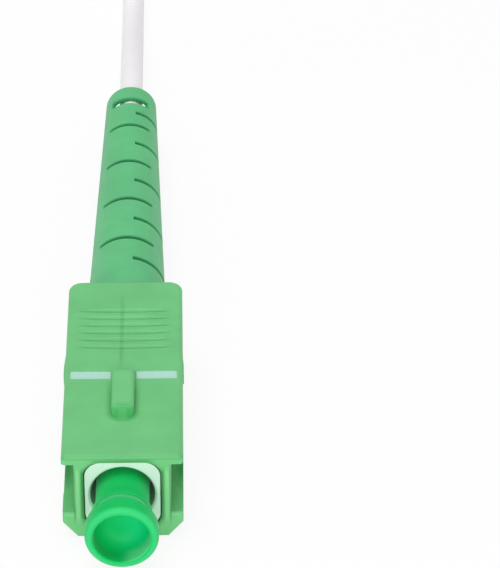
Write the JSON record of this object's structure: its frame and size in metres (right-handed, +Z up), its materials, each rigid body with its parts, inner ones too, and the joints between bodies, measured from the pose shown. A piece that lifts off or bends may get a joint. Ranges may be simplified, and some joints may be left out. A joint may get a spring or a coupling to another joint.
{
  "type": "SC APC fibre connector",
  "caption": "Push-pull fibre plug with a green keyed housing, white plug frame, dust cap, slotted boot and a white cord ending in a tied hank.",
  "frame": {"origin": "on the ferrule's axis, in the plane of the grip housing's front face", "axes": "+Y back along the ferrule's axis to the cord, +Z up towards the key, +X to the right seen from the front"},
  "size_m": [0.02, 0.1442, 0.0109],
  "materials": {
    "grip_plastic": "light green moulded plastic",
    "frame_plastic": "white moulded plastic",
    "zirconia": "white ground ceramic",
    "flange_metal": "nickel-plated brass",
    "fibre_glass": "clear silica fibre",
    "buffer_plastic": "white plastic",
    "spring_steel": "drawn spring wire",
    "yarn": "yellow aramid yarn",
    "crimp_metal": "plated crimped sleeve",
    "boot_rubber": "soft green moulded rubber",
    "cap_plastic": "bright green soft plastic",
    "jacket": "white smooth cord jacket",
    "tie_plastic": "white woven tie"
  },
  "bodies": {
    "plug": {"plug_frame": "frame_plastic", "stop_ring": "flange_metal", "spring": "spring_steel", "guide_tube": "buffer_plastic", "aramid_yarn": "yarn", "crimp_ring": "crimp_metal", "boot": "boot_rubber", "cord_jacket": "jacket", "cord_lead": "jacket", "cord_hank": "jacket", "cord_tie_right": "tie_plastic", "cord_tie_left": "tie_plastic"},
    "grip": {"grip_housing": "grip_plastic"},
    "ferrule_set": {"ferrule": "zirconia", "ferrule_flange": "flange_metal", "glass_fibre": "fibre_glass", "tight_buffer": "buffer_plastic"},
    "cap": {"dust_cap": "cap_plastic"}
  },
  "joints": [
    {"name": "grip_pull_back", "type": "slide", "parent": "plug", "child": "grip", "axis": [0, 1, 0], "range_m": [0, 0.002]},
    {"name": "ferrule_push_in", "type": "slide", "parent": "plug", "child": "ferrule_set", "axis": [0, 1, 0], "range_m": [0, 0.0015], "stiffness_N_per_m": 1500, "springref_m": -0.0055, "deforming": ["spring"]},
    {"name": "cap_pull_off", "type": "slide", "parent": "ferrule_set", "child": "cap", "axis": [0, -1, 0], "range_m": [0, 0.01]}
  ]
}
